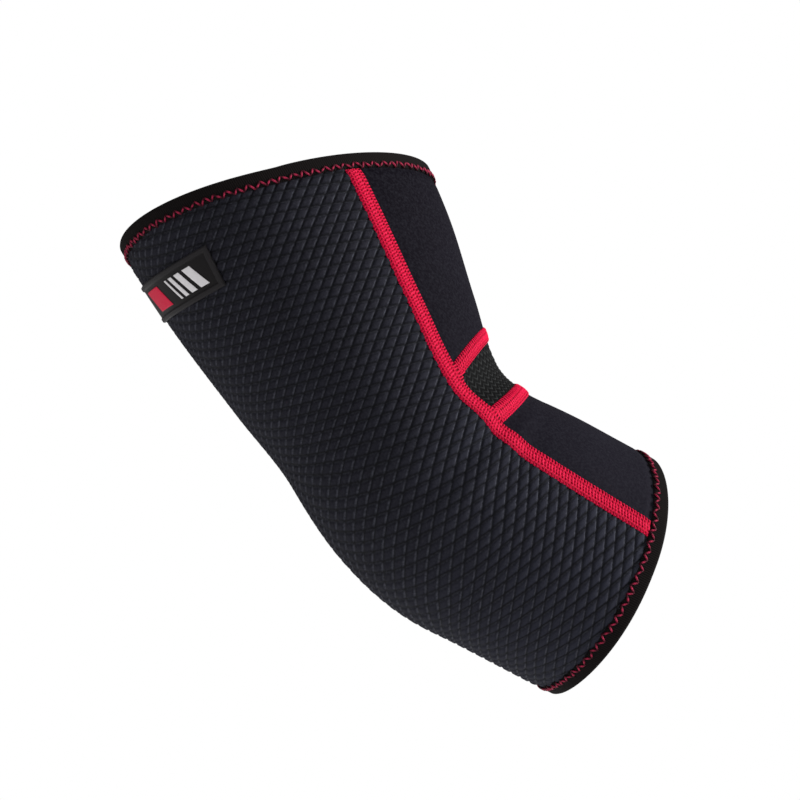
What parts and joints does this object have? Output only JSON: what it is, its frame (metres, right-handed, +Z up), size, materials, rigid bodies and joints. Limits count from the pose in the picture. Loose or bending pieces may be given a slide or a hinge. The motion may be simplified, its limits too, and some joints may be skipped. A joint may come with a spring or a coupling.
{
  "type": "elbow brace",
  "caption": "Pull-on neoprene elbow brace in its worn form: embossed back panel, smooth front panels, knit mesh at the crook, red flatlock seams, black bound rims and a plain rubber label.",
  "frame": {"origin": "the middle of the bend on the sleeve's middle line, inside the hollow where the elbow sits", "axes": "+Z up, +Y through the sleeve from its near side to its far side, +X toward the hand side; the upper arm leaves up and to -X, the forearm down and to +X, and the crook faces up and to +X"},
  "size_m": [0.2021, 0.1008, 0.1993],
  "materials": {
    "embossed_neoprene": "charcoal knit over neoprene, embossed with small diamond pads",
    "smooth_neoprene": "smooth matt jersey over neoprene",
    "knit_mesh": "open black knit mesh",
    "red_thread": "shiny red polyester thread",
    "binding_tape": "fine ribbed black knit tape",
    "label_rubber": "matt moulded rubber"
  },
  "bodies": {
    "root": {"outer_panel": "embossed_neoprene", "upper_front_panel": "smooth_neoprene", "lower_front_panel": "smooth_neoprene", "crook_mesh": "knit_mesh", "long_seam_near": "red_thread", "long_seam_far": "red_thread", "crook_seam_upper": "red_thread", "crook_seam_lower": "red_thread", "top_binding": "binding_tape", "lower_binding": "binding_tape", "label": "label_rubber"}
  },
  "joints": []
}
